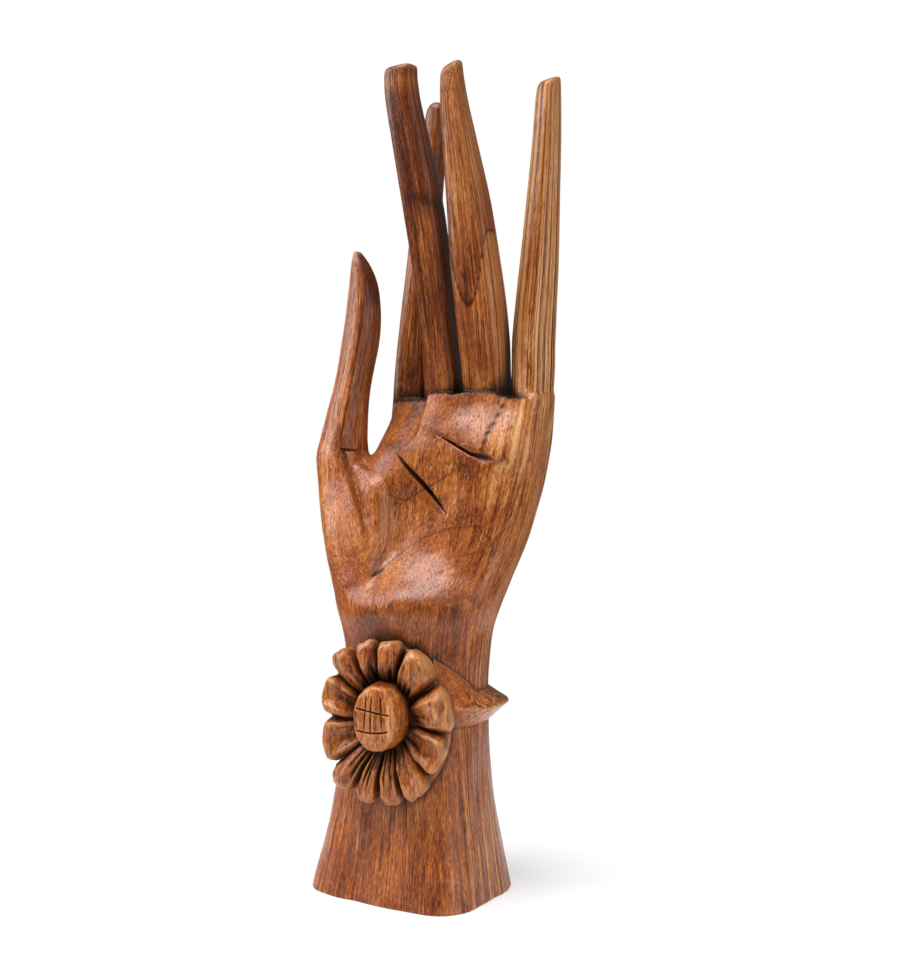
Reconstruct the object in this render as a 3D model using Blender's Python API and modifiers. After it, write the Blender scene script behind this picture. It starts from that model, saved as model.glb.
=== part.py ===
"""Carved wooden hand that holds rings: a left hand standing on its cut wrist, palm towards -Y,
thumb at -X, with a ridged bracelet and a carved flower on the front of the wrist.

Lengths below are millimetres and are turned into metres once, in MM. +Z is up, the origin is the
centre of the foot on the table.
"""

import math

import bmesh
import bpy
from mathutils import Matrix, Vector

MM = 0.001
GAP = 0.3            # glue line between two wooden members

# ---- driving dimensions -------------------------------------------------------------------
HEIGHT = 300.0       # foot to the tips of the long fingers
FOOT_A, FOOT_B = 37.2, 30.0          # half width and half depth of the oval foot
WRIST_A, WRIST_B = 27.5, 21.3        # the same where the bracelet sits
BAND_Z, BAND_H, BAND_OUT = 68.6, 12.4, 7.2   # bracelet: height, width, how far its ridge stands out
ROOT_Z = 183.0       # saw cut at the roots of the four fingers
THUMB_Z = 161.0      # saw cut at the root of the thumb
TENON_R, TENON_L = 3.2, 9.0          # round tenons under the fingers
SPIGOT_R, SPIGOT_L = 12.0, 14.0      # stub between wrist and palm
FLOWER_YAW = 5.0    # the flower looks this many degrees from -Y towards +X
FLOWER_Z = 65.0
FLOWER_W, FLOWER_H = 24.2, 28.7      # half width and half height over the petals
# directions of the petals as the carver spaced them, clockwise from straight up
PETAL_TURNS = (3, 36, 76, 119, 148, 174, 198, 221, 250, 295, 317, 342)
PETAL_BACK, PETAL_FRONT = 24.0, 31.0   # distances from the wrist's axis along the flower's axis
BUTTON_OUT = 38.5

WOOD = (0.30, 0.105, 0.03)

# Stations of each member, bottom to top:
# (z, centre x, centre y, half x, half y, turn in degrees, squareness: 2 is an ellipse)
WRIST = [
    (0.0, 0.0, 0.0, FOOT_A, FOOT_B, 0, 2),
    (14.0, 0.2, 0.0, 34.0, 27.0, 0, 2),
    (28.0, 0.5, 0.0, 31.0, 24.4, 0, 2),
    (44.0, 0.8, 0.0, 28.7, 22.4, 0, 2),
    (BAND_Z, 1.0, 0.0, WRIST_A, WRIST_B, 0, 2),
]
PALM = [
    (BAND_Z, 1.0, 0.0, WRIST_A, WRIST_B, 0, 2),
    (76.0, 1.0, 0.0, WRIST_A, WRIST_B, 0, 2),
    (84.0, 1.5, 0.0, 28.0, 22.0, 0, 2),
    (96.0, 2.0, 0.5, 29.0, 23.5, 0, 2.1),
    (108.0, 3.0, 1.5, 31.0, 24.3, 0, 2.2),
    (120.0, 6.0, 4.5, 32.0, 22.0, 2, 2.3),
    (135.0, 10.0, 9.5, 33.0, 18.0, 4, 2.3),
    (150.0, 13.5, 13.5, 33.0, 15.2, 5, 2.3),
    (165.0, 16.3, 16.0, 32.0, 12.6, 3, 2.5),
    (ROOT_Z, 16.5, 17.6, 32.6, 11.2, 0, 2.8),
]
THENAR = [
    (84.0, -7.0, -3.0, 12.5, 14.0, 0, 2.1),
    (100.0, -11.5, -4.0, 14.6, 15.5, 0, 2.1),
    (115.0, -16.5, -4.5, 14.3, 15.2, 0, 2.1),
    (130.0, -21.0, -3.5, 13.4, 13.8, 4, 2.1),
    (144.0, -24.0, -1.0, 13.4, 12.2, 10, 2.1),
    (153.0, -25.6, 0.6, 12.6, 10.8, 14, 2.2),
    (158.0, -28.2, 0.0, 10.2, 9.9, 8, 2.4),
    (THUMB_Z, -29.6, -0.4, 8.7, 9.5, 0, 2.5),
]
FINGERS = {
    "thumb": [
        (THUMB_Z, -29.8, -0.2, 8.7, 9.0, 0, 2.3),
        (173.5, -28.0, 0.5, 7.3, 7.6, 0, 2.3),
        (183.0, -26.2, 1.0, 6.5, 6.8, 0, 2.3),
        (201.0, -22.6, 1.8, 6.7, 6.8, 0, 2.3),
        (210.0, -21.5, 2.0, 6.4, 6.4, 0, 2.3),
        (220.0, -21.3, 2.0, 5.5, 5.5, 0, 2.3),
        (228.5, -22.1, 2.0, 3.7, 3.8, 0, 2.3),
        (235.4, -23.9, 2.0, 0.9, 1.0, 0, 2.3),
    ],
    "index_finger": [
        (ROOT_Z, -9.4, 21.0, 6.7, 6.7, 0, 2.6),
        (211.0, -8.7, 22.4, 6.0, 6.1, 0, 2.6),
        (235.0, -6.8, 23.6, 5.7, 5.8, 0, 2.6),
        (263.0, -5.0, 25.4, 5.2, 5.3, 0, 2.6),
        (286.0, -3.3, 27.4, 4.5, 4.6, 0, 2.6),
        (293.5, -3.0, 27.9, 3.6, 3.7, 0, 2.6),
        (296.8, -2.9, 28.0, 1.6, 1.7, 0, 2.6),
    ],
    "middle_finger": [
        (ROOT_Z, 6.6, 15.6, 6.8, 7.2, 0, 3),
        (202.0, 5.8, 12.5, 6.2, 6.8, 0, 3),
        (231.0, 5.0, 6.0, 6.3, 6.6, 0, 3),
        (252.5, 3.9, 0.5, 6.5, 6.6, 0, 3),
        (273.5, 2.2, -5.0, 6.2, 6.2, 0, 3),
        (288.0, 0.6, -7.7, 5.7, 5.7, 0, 3),
        (296.5, 0.0, -8.1, 5.2, 5.0, 0, 3),
        (300.0, 0.1, -8.1, 3.9, 3.6, 0, 3),
    ],
    "ring_finger": [
        (ROOT_Z, 23.9, 14.9, 7.6, 8.2, 0, 3),
        (201.0, 24.0, 12.0, 8.0, 8.6, 0, 3),
        (216.0, 23.6, 9.5, 8.0, 8.6, 0, 3),
        (230.0, 23.1, 6.5, 7.7, 8.2, 0, 3),
        (251.0, 22.2, 2.0, 6.8, 7.0, 0, 3),
        (272.0, 20.5, -2.5, 5.4, 5.5, 0, 3),
        (285.0, 19.2, -4.2, 4.6, 4.6, 0, 3),
        (294.0, 18.8, -5.0, 3.5, 3.5, 0, 3),
        (HEIGHT, 19.3, -5.2, 1.7, 1.7, 0, 3),
    ],
    "little_finger": [
        (ROOT_Z, 40.2, 20.0, 7.1, 7.4, 0, 2.5),
        (201.0, 40.2, 21.0, 7.0, 7.7, 0, 2.5),
        (216.0, 40.7, 21.9, 6.9, 7.4, 0, 2.5),
        (231.0, 41.6, 22.7, 6.4, 6.8, 0, 2.5),
        (253.5, 42.5, 23.9, 5.7, 5.9, 0, 2.5),
        (276.0, 43.6, 25.0, 5.0, 5.2, 0, 2.5),
        (290.0, 43.9, 25.6, 4.5, 4.6, 0, 2.5),
        (296.0, 44.3, 25.9, 3.4, 3.5, 0, 2.5),
        (299.0, 44.8, 26.0, 2.0, 2.0, 0, 2.5),
    ],
}


# ---- helpers ------------------------------------------------------------------------------
for old in list(bpy.data.objects):
    bpy.data.objects.remove(old, do_unlink=True)

parts = bpy.data.collections.new("carved_hand_ring_holder")
cutters = bpy.data.collections.new("cutters")
bpy.context.scene.collection.children.link(parts)
bpy.context.scene.collection.children.link(cutters)

wood = bpy.data.materials.new("stained_wood")
wood.use_nodes = True
shader = wood.node_tree.nodes["Principled BSDF"]
shader.inputs["Base Color"].default_value = (*WOOD, 1.0)
shader.inputs["Roughness"].default_value = 0.42
shader.inputs["Metallic"].default_value = 0.0


def smooth(stations, z):
    """The station at height z, on a Catmull-Rom curve through the given ones."""
    last = len(stations) - 1
    i = max(k for k in range(last) if stations[k][0] <= z or k == 0)
    a, b = stations[i], stations[i + 1]
    before, after = stations[max(i - 1, 0)], stations[min(i + 2, last)]
    t = (z - a[0]) / (b[0] - a[0])
    found = [z]
    for k in range(1, len(a)):
        m0 = (b[k] - before[k]) / (b[0] - before[0]) * (b[0] - a[0])
        m1 = (after[k] - a[k]) / (after[0] - a[0]) * (b[0] - a[0])
        t2, t3 = t * t, t * t * t
        found.append((2 * t3 - 3 * t2 + 1) * a[k] + (t3 - 2 * t2 + t) * m0
                     + (3 * t2 - 2 * t3) * b[k] + (t3 - t2) * m1)
    return found


def ring_points(station, sides, grow=0.0):
    """One horizontal superellipse."""
    z, cx, cy, a, b, turn, power = station
    ca, sa = math.cos(math.radians(turn)), math.sin(math.radians(turn))
    points = []
    for k in range(sides):
        t = 2 * math.pi * k / sides
        c, s = math.cos(t), math.sin(t)
        u = (a + grow) * math.copysign(abs(c) ** (2 / power), c)
        v = (b + grow) * math.copysign(abs(s) ** (2 / power), s)
        points.append(Vector((cx + u * ca - v * sa, cy + u * sa + v * ca, z)) * MM)
    return points


def loft(name, rings, collection=parts):
    """A closed solid through unlike rings of equally many points, lowest first."""
    bm = bmesh.new()
    rows = [[bm.verts.new(p) for p in ring] for ring in rings]
    n = len(rows[0])
    for low, high in zip(rows, rows[1:]):
        for k in range(n):
            bm.faces.new((low[k], low[(k + 1) % n], high[(k + 1) % n], high[k]))
    bm.faces.new(list(reversed(rows[0])))
    bm.faces.new(rows[-1])
    mesh = bpy.data.meshes.new(name)
    bm.to_mesh(mesh)
    bm.free()
    obj = bpy.data.objects.new(name, mesh)
    collection.objects.link(obj)
    mesh.materials.append(wood)
    mesh.shade_smooth()
    mesh.set_sharp_from_angle(angle=math.radians(35))
    if collection is cutters:
        helper(obj)
    return obj


def helper(obj):
    obj.hide_render = True
    obj.display_type = "WIRE"


def member(name, stations, low, high, step, sides, grow=0.0, collection=parts):
    """A loft of the stations between two heights, with a ring about every step."""
    count = max(2, round((high - low) / step))
    heights = [low + (high - low) * k / count for k in range(count + 1)]
    return loft(name, [ring_points(smooth(stations, z), sides, grow) for z in heights], collection)


def rod(name, x, y, low, high, radius, collection=cutters, sides=20):
    bpy.ops.mesh.primitive_cylinder_add(vertices=sides, radius=radius * MM, depth=(high - low) * MM,
                                        location=(x * MM, y * MM, (low + high) / 2 * MM))
    obj = bpy.context.object
    obj.name = obj.data.name = name
    for c in list(obj.users_collection):
        c.objects.unlink(obj)
    collection.objects.link(obj)
    if collection is cutters:
        helper(obj)
    return obj


def boolean(obj, other, operation):
    modifier = obj.modifiers.new(operation.lower(), "BOOLEAN")
    modifier.operation = operation
    modifier.object = other
    modifier.solver = "EXACT"


# ---- wrist and palm -----------------------------------------------------------------------
wrist = member("wrist_base", WRIST, 0.0, BAND_Z - GAP / 2, 7.0, 56)
boolean(wrist, rod("spigot", 1.0, 0.0, BAND_Z - 5, BAND_Z + SPIGOT_L, SPIGOT_R, sides=28), "UNION")

palm = member("palm", PALM, BAND_Z + GAP / 2, ROOT_Z - GAP / 2, 6.0, 56)
thenar = member("thenar", THENAR, 84.0, THUMB_Z - GAP / 2, 4.5, 32, collection=cutters)
boolean(palm, thenar, "UNION")
boolean(palm, rod("spigot_socket", 1.0, 0.0, BAND_Z - 4, BAND_Z + SPIGOT_L + GAP, SPIGOT_R + GAP, sides=28), "DIFFERENCE")

# ---- thumb and fingers, each with a round tenon in the palm -----------------------------------
for name, stations in FINGERS.items():
    root, top = stations[0][0], stations[-1][0]
    x, y = stations[0][1], stations[0][2]
    finger = member(name, stations, root + GAP / 2, top, 7.5, 24)
    boolean(finger, rod(name + "_tenon", x, y, root - TENON_L, root + 4, TENON_R), "UNION")
    boolean(palm, rod(name + "_mortise", x, y, root - TENON_L - GAP, root + 3, TENON_R + GAP), "DIFFERENCE")

# ---- bracelet: a turned ring of three-sided section, drawn out to the wrist's oval ------------
bm = bmesh.new()
half = BAND_H / 2
profile = [(WRIST_A + 2 * GAP, half), (WRIST_A + BAND_OUT, 0.6), (WRIST_A + BAND_OUT, -0.6), (WRIST_A + 2 * GAP, -half)]
verts = [bm.verts.new(Vector((x, 0, z)) * MM) for x, z in profile]
for a, b in zip(verts, verts[1:] + verts[:1]):
    bm.edges.new((a, b))
mesh = bpy.data.meshes.new("bracelet_band")
bm.to_mesh(mesh)
bm.free()
band = bpy.data.objects.new("bracelet_band", mesh)
parts.objects.link(band)
mesh.materials.append(wood)
screw = band.modifiers.new("turn", "SCREW")
screw.axis = "Z"
screw.angle = 2 * math.pi
screw.steps = screw.render_steps = 64
screw.use_merge_vertices = True
screw.merge_threshold = 0.00001
screw.use_normal_calculate = True
band.location = Vector((1.0, 0.0, BAND_Z)) * MM
band.scale = (1.0, (WRIST_B + 2 * GAP) / (WRIST_A + 2 * GAP), 1.0)

# ---- flower: backing, petals and button, drawn on an empty that looks out of the wrist --------
flower = bpy.data.objects.new("flower_axis", None)
parts.objects.link(flower)
flower.location = Vector((1.0, 0.0, FLOWER_Z)) * MM
# local X runs to the right of the flower, local Y up, local Z out of the wrist
flower.rotation_euler = (Matrix.Rotation(math.radians(FLOWER_YAW), 4, "Z") @ Matrix.Rotation(math.radians(90), 4, "X")).to_euler()


def oval(cx, cy, z, a, b, sides):
    return ring_points((z, cx, cy, a, b, 0, 2), sides)


backing = loft("flower_backing", [
    oval(0, 0, 10.0, 19.5, 25.0, 48),
    oval(0, 0, 20.0, 21.5, 26.0, 48),
    oval(0, 0, PETAL_BACK - GAP, 22.0, 26.5, 48),
])
backing.parent = flower
shaft = member("wrist_clearance", WRIST[:-1] + PALM, 20.0, 112.0, 6.0, 56, grow=GAP + 0.15, collection=cutters)
boolean(backing, shaft, "DIFFERENCE")
heel = member("thenar_clearance", THENAR, 84.0, 112.0, 6.5, 32, grow=GAP + 0.15, collection=cutters)
boolean(backing, heel, "DIFFERENCE")

button = loft("flower_centre", [
    oval(0, 0.8, PETAL_BACK, 7.2, 9.2, 32),
    oval(0, 0.8, PETAL_BACK + 4.0, 9.3, 11.6, 32),
    oval(0, 0.8, BUTTON_OUT - 5.0, 8.8, 11.8, 32),
    oval(0, 0.8, BUTTON_OUT - 2.0, 7.6, 10.8, 32),
    oval(0, 0.8, BUTTON_OUT, 5.6, 8.4, 32),
])
button.parent = flower

for k, middle in enumerate(PETAL_TURNS):
    # each petal fills the angle up to half way to its neighbours, and is drawn about the middle of it
    before = (middle - PETAL_TURNS[k - 1]) % 360
    after = (PETAL_TURNS[(k + 1) % len(PETAL_TURNS)] - middle) % 360
    turn = math.radians(middle + (after - before) / 4)
    spread = math.tan(math.radians((before + after) / 4))
    along = Vector((math.sin(turn), math.cos(turn)))
    side = Vector((along.y, -along.x))
    rings = []
    for r, share, rise in ((12.4, 0.84, 3.0), (15.5, 0.90, 4.4), (20.0, 0.93, 6.0), (24.0, 0.90, 7.0), (27.2, 0.68, 6.4), (28.7, 0.30, 4.2)):
        wide = r * spread * share
        ring = []
        for j in range(12):
            t = 2 * math.pi * j / 12
            c, s = math.cos(t), math.sin(t)
            u = wide * math.copysign(abs(c) ** 0.8, c)
            w = PETAL_BACK + rise / 2 * (1 + math.copysign(abs(s) ** 0.8, s))
            flat = along * (r - 0.12 * abs(u)) + side * u
            ring.append(Vector((flat.x * FLOWER_W / FLOWER_H, flat.y, w)) * MM)
        rings.append(list(reversed(ring)))
    petal = loft(f"flower_petal_{k + 1:02d}", rings)
    petal.parent = flower

keep_out = loft("flower_clearance", [oval(0, 0, 5.0, FLOWER_W + 0.5, FLOWER_H + 0.5, 48), oval(0, 0, 45.0, FLOWER_W + 0.5, FLOWER_H + 0.5, 48)], cutters)
keep_out.parent = flower
boolean(band, keep_out, "DIFFERENCE")
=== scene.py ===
"""Looks of the carved wooden hand: the members are sculpted as one continuous surface from a
distance field, cut apart at the same joints as the CAD, and covered with one procedural wood whose
grain runs through all of them. Lengths are millimetres until a mesh is written."""
import math

import bmesh
import bpy
import numpy as np
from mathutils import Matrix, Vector
from mathutils.bvhtree import BVHTree


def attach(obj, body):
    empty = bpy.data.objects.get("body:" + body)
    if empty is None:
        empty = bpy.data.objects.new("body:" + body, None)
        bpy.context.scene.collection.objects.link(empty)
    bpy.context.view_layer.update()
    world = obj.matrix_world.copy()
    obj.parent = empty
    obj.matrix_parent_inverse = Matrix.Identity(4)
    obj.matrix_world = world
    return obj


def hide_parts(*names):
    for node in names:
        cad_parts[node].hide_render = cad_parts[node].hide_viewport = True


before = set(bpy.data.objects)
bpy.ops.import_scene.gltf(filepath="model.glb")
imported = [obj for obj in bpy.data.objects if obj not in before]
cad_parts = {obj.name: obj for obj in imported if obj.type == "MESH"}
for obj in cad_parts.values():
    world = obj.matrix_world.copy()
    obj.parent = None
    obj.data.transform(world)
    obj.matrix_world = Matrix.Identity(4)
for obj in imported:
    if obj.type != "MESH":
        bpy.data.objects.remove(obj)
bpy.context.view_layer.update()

MM = 0.001
STEP = 0.85       # size of the sculpting grid
ROOT_Z, THUMB_Z, BAND_Z = 183.0, 161.0, 68.6

# ------------------------------------------------------------------------------------------
# members of the hand: (z, centre x, centre y, half x, half y, turn in degrees, squareness)
# ------------------------------------------------------------------------------------------
BODY = [
    (0.0, 0.2, -0.2, 34.0, 26.6, -7, 4.0),
    (3.0, 0.2, -0.1, 33.5, 26.1, -7, 3.9),
    (14.0, 0.6, 0.0, 31.5, 24.4, -7, 3.6),
    (28.0, 0.9, 0.0, 29.3, 22.6, -6, 3.2),
    (44.0, 1.2, 0.0, 27.7, 21.5, -5, 2.8),
    (60.0, 1.4, 0.0, 27.3, 21.2, -3, 2.5),
    (76.0, 1.9, 0.0, 26.9, 21.4, 0, 2.2),
    (86.0, 2.6, 0.0, 26.9, 22.0, 0, 2.2),
    (95.0, 3.0, 0.4, 27.6, 23.2, 0, 2.2),
    (103.0, 3.0, 1.0, 30.0, 24.6, 0, 2.2),
    (108.0, 3.7, 2.4, 30.9, 24.4, 0, 2.2),
    (116.0, 5.4, 5.8, 31.8, 21.0, 1, 2.2),
    (124.0, 7.5, 8.6, 32.2, 18.2, 2, 2.4),
    (132.0, 9.5, 10.0, 32.4, 17.1, 3, 2.7),
    (140.0, 11.4, 10.7, 32.5, 16.7, 4, 3.0),
    (150.0, 13.4, 11.7, 32.4, 17.1, 5, 3.5),
    (159.0, 14.9, 12.7, 32.0, 17.1, 4, 3.8),
    (166.0, 15.8, 14.3, 31.6, 15.3, 3, 4.0),
    (178.0, 16.5, 17.7, 31.0, 11.5, 1, 4.4),
    (192.0, 16.7, 18.6, 30.5, 10.6, 0, 4.4),
]
THENAR = [
    (80.0, -6.4, -2.0, 11.0, 12.5, 0, 2.1),
    (92.0, -8.2, -3.4, 14.0, 15.0, 0, 2.1),
    (104.0, -11.0, -4.2, 15.0, 15.8, 0, 2.2),
    (117.0, -15.0, -4.0, 15.0, 14.6, -2, 2.3),
    (130.0, -18.0, -3.0, 15.3, 13.2, -3, 2.6),
    (142.0, -20.7, -1.6, 15.6, 11.2, -6, 2.8),
    (152.0, -25.1, -0.4, 12.3, 9.2, -12, 3.0),
    (160.0, -28.8, -0.2, 7.6, 8.2, -18, 3.1),
    (168.0, -28.0, 0.2, 5.6, 6.2, -20, 3.1),
]
THUMB = [
    (138.0, -25.0, 0.0, 7.6, 6.5, -14, 3.0),
    (150.0, -27.6, -0.4, 8.4, 8.8, -16, 3.1),
    (160.0, -29.0, -0.2, 8.2, 8.5, -18, 3.1),
    (173.5, -27.6, 0.5, 6.9, 7.2, -20, 3.1),
    (183.0, -26.0, 1.0, 6.2, 6.4, -20, 3.1),
    (192.0, -24.2, 1.4, 6.1, 6.3, -20, 3.0),
    (201.0, -22.6, 1.8, 6.3, 6.4, -20, 3.0),
    (210.0, -21.5, 2.0, 6.1, 6.1, -20, 2.9),
    (219.0, -21.2, 2.0, 5.4, 5.5, -20, 2.8),
    (225.0, -21.5, 2.0, 4.6, 4.8, -20, 2.6),
    (231.0, -22.6, 2.0, 3.0, 3.6, -20, 2.3),
    (236.0, -24.0, 2.0, 0.9, 1.6, -20, 2.0),
]
INDEX = [
    (138.0, -7.5, 15.0, 5.0, 5.0, 0, 2.6),
    (152.0, -8.6, 17.6, 6.2, 6.2, 0, 3.0),
    (170.0, -9.7, 20.2, 6.9, 6.6, 0, 3.5),
    (188.0, -9.7, 21.2, 6.8, 6.5, 0, 3.6),
    (211.0, -8.8, 22.4, 6.0, 5.9, 0, 3.4),
    (235.0, -6.8, 23.6, 5.6, 5.6, 0, 3.2),
    (263.0, -5.0, 25.4, 5.0, 5.1, 0, 3.0),
    (286.0, -3.3, 27.4, 4.4, 4.5, 0, 2.6),
    (293.0, -3.1, 27.9, 3.7, 4.0, 0, 2.4),
    (297.0, -3.0, 28.0, 2.4, 2.7, 0, 2.2),
]
MIDDLE = [
    (170.0, 7.2, 17.0, 7.0, 7.8, 0, 4.6),
    (187.0, 6.5, 15.0, 6.7, 7.0, 0, 4.6),
    (202.0, 6.0, 12.5, 6.1, 6.6, 0, 4.6),
    (217.0, 5.4, 9.5, 6.1, 6.4, 0, 4.6),
    (231.0, 5.2, 6.0, 6.5, 6.4, 0, 4.6),
    (252.5, 4.1, 0.5, 6.7, 6.4, 0, 4.4),
    (273.5, 2.2, -5.0, 6.2, 6.0, 0, 4.0),
    (287.0, 0.5, -7.6, 5.8, 5.6, 0, 3.6),
    (295.0, -0.2, -8.1, 5.6, 5.3, 0, 3.3),
    (301.0, 0.0, -8.1, 5.3, 4.8, 0, 3.0),
]
RING = [
    (170.0, 24.4, 17.0, 7.9, 8.8, 0, 4.6),
    (187.0, 24.1, 14.5, 7.8, 8.2, 0, 4.6),
    (201.0, 24.1, 12.0, 8.2, 8.5, 0, 4.6),
    (216.0, 23.5, 9.5, 8.3, 8.4, 0, 4.6),
    (230.0, 22.9, 6.5, 8.1, 8.0, 0, 4.4),
    (251.0, 22.2, 2.0, 7.2, 6.8, 0, 4.2),
    (272.0, 20.7, -2.5, 5.7, 5.4, 0, 3.8),
    (285.0, 19.4, -4.2, 4.7, 4.5, 0, 3.4),
    (294.0, 18.9, -5.0, 4.0, 3.8, 0, 3.0),
    (302.0, 19.0, -5.2, 3.2, 2.8, 0, 2.8),
]
LITTLE = [
    (156.0, 36.5, 17.0, 5.8, 6.0, -20, 3.0),
    (170.0, 39.6, 17.2, 6.1, 6.4, -24, 3.2),
    (183.0, 41.0, 17.6, 6.7, 6.9, -27, 3.4),
    (201.0, 41.0, 18.9, 6.8, 7.1, -27, 3.4),
    (216.0, 41.5, 20.3, 6.6, 6.7, -27, 3.4),
    (231.0, 42.2, 21.6, 6.2, 6.3, -27, 3.4),
    (253.5, 43.0, 23.4, 5.4, 5.5, -26, 3.3),
    (276.0, 43.9, 24.8, 4.7, 4.8, -25, 3.2),
    (290.0, 44.2, 25.5, 4.3, 4.4, -25, 3.0),
    (296.0, 44.4, 25.8, 4.1, 4.0, -25, 2.8),
    (301.0, 44.6, 26.0, 3.8, 3.6, -25, 2.6),
]

TZ0, TZ1, TZN = -6.0, 310.0, 1265


def track(stations):
    """A smooth curve through the stations, tabulated over height."""
    s = np.array(stations, float)
    z, v = s[:, 0], s[:, 1:].copy()
    v[:, 4] = np.radians(v[:, 4])
    m = np.empty_like(v)
    m[1:-1] = (v[2:] - v[:-2]) / (z[2:] - z[:-2])[:, None]
    m[0] = (v[1] - v[0]) / (z[1] - z[0])
    m[-1] = (v[-1] - v[-2]) / (z[-1] - z[-2])
    zz = np.clip(np.linspace(TZ0, TZ1, TZN), z[0], z[-1])
    i = np.clip(np.searchsorted(z, zz, "right") - 1, 0, len(z) - 2)
    h = z[i + 1] - z[i]
    t = ((zz - z[i]) / h)[:, None]
    h = h[:, None]
    table = ((2 * t**3 - 3 * t**2 + 1) * v[i] + (t**3 - 2 * t**2 + t) * h * m[i]
             + (3 * t**2 - 2 * t**3) * v[i + 1] + (t**3 - t**2) * h * m[i + 1])
    return z[0], z[-1], table.astype(np.float32)


def along(tr, z):
    k = np.clip((z - TZ0) * ((TZN - 1) / (TZ1 - TZ0)), 0, TZN - 1.001)
    i = k.astype(np.int32)
    f = (k - i)[..., None].astype(np.float32)
    return tr[2][i] * (1 - f) + tr[2][i + 1] * f


def smin(a, b, k):
    h = np.clip(0.5 + 0.5 * (b - a) / k, 0, 1)
    return b * (1 - h) + a * h - k * h * (1 - h)


def smax(a, b, k):
    return -smin(-a, -b, k)


def step(a, b, x):
    t = np.clip((x - a) / (b - a), 0, 1)
    return t * t * (3 - 2 * t)


def member(tr, x, y, z, top=2.0, low=2.0):
    """Signed distance, roughly, to a member with upright axis."""
    c = along(tr, z)
    dx, dy = x - c[..., 0], y - c[..., 1]
    ca, sa = np.cos(c[..., 4]), np.sin(c[..., 4])
    n = c[..., 5]
    rho = ((np.abs(dx * ca + dy * sa) / c[..., 2]) ** n + (np.abs(dy * ca - dx * sa) / c[..., 3]) ** n) ** (1 / n) + 1e-5
    d = np.sqrt(dx * dx + dy * dy) + 1e-5
    d = d - d / rho
    d = smax(d, z - tr[1], top)
    return smax(d, tr[0] - z, low)


T = {name: track(s) for name, s in dict(body=BODY, thenar=THENAR, thumb=THUMB, index=INDEX, middle=MIDDLE,
                                         ring=RING, little=LITTLE).items()}


def groove(x, z, points, width, depth, power=1.0):
    """A cut along a polyline on the palm's front, with tapered ends: how deep it is at (x, z)."""
    cut = 0.0
    pts = [np.array(p, float) for p in points]
    lengths = [np.hypot(*(b - a)) for a, b in zip(pts, pts[1:])]
    total, gone = sum(lengths), 0.0
    for a, b, length in zip(pts, pts[1:], lengths):
        e = (b - a) / length
        px, pz = x - a[0], z - a[1]
        t = np.clip(px * e[0] + pz * e[1], 0, length)
        dist = np.sqrt((px - t * e[0]) ** 2 + (pz - t * e[1]) ** 2)
        where = (gone + t) / total
        share = width(where)
        cut = np.maximum(cut, depth(where) * np.clip(1 - dist / np.maximum(share, 1e-3), 0, 1) ** power)
        gone += length
    return cut


def arch(t):
    """0 at both ends of 0..1 and 1 in the middle."""
    return np.clip(np.sin(np.pi * t), 0, 1)


def bump(x, z, cx, cz, rx, rz, turn=0.0):
    """A round-topped rise of height 1 on the front, with soft edges."""
    c, s = math.cos(math.radians(turn)), math.sin(math.radians(turn))
    u, v = ((x - cx) * c + (z - cz) * s) / rx, ((z - cz) * c - (x - cx) * s) / rz
    return np.exp(-(u * u + v * v))


def curve(table, z):
    """A smooth curve through a table over z, level at its ends."""
    t = np.array(table, float)
    k, v = t[:, 0], t[:, 1]
    m = np.zeros(len(v))
    m[1:-1] = (v[2:] - v[:-2]) / (k[2:] - k[:-2])
    q = np.clip(z, k[0], k[-1])
    i = np.clip(np.searchsorted(k, q, "right") - 1, 0, len(k) - 2)
    h = k[i + 1] - k[i]
    f = (q - k[i]) / h
    return ((2 * f**3 - 3 * f**2 + 1) * v[i] + (f**3 - 2 * f**2 + f) * h * m[i]
            + (3 * f**2 - 2 * f**3) * v[i + 1] + (f**3 - f**2) * h * m[i + 1])


def fold(x, z, line, left, right, depth, power=1.0):
    """A gouged valley that runs up the palm: `line` gives its bottom, and the two walls rise `left` and `right` of it.
    Each is a table over z."""
    s = x - curve(line, z)
    wall = np.clip(1 - np.where(s > 0, s / curve(right, z), -s / curve(left, z)), 0, 1)
    return curve(depth, z) * np.where(s > 0, wall ** power, wall)


LIFE = [(-4.0, 159.5), (6.0, 149.0), (17.2, 136.0)]
HEART = [(10.0, 166.6), (18.0, 162.6), (25.5, 158.6), (35.0, 156.4)]


def life_cut(x, z):
    return groove(x, z, LIFE, lambda t: 0.2 + 0.85 * arch(t ** 0.8) ** 0.9, lambda t: 2.6 * arch(t) ** 0.5, 0.9)


def heart_cut(x, z):
    return groove(x, z, HEART, lambda t: 0.25 + 0.5 * arch(t) + 1.6 * np.exp(-((t - 0.84) / 0.11) ** 2), lambda t: 2.0 * arch(t) ** 0.45, 0.9)


def notch_cut(x, y, z):
    """The knife's stop at the thumb's root: deep at the edge, running out towards the web."""
    nx, nz = x + 25.6, z - 160.8
    bar = np.clip(1 - np.abs(nz + 0.10 * nx) / (0.95 - 0.08 * np.clip(nx, 0, 8)), 0, 1) * step(-0.6, 0.6, nx) * step(7.0, 0.0, nx)
    leg = np.clip(1 - np.abs(nx - 0.6 + 0.42 * nz) / 0.9, 0, 1) * step(0.6, -0.4, nz) * step(-9.0, -1.0, nz)
    return np.maximum(bar, 0.8 * leg) * step(0.0, -4.0, y)


def shelf(x):
    """Height of the cut under the fingers, lower behind the index finger's side and between the fingers."""
    return (181.8 - 2.2 * step(2.0, -2.0, x - 4) - 2.8 * step(26.0, 38.0, x) - 0.9 * np.exp(-((x - 15.2) / 2.0) ** 2)
            + 0.14 * np.sin(x * 1.7) + 0.10 * np.sin(x * 3.1 + 1.0))


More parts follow.
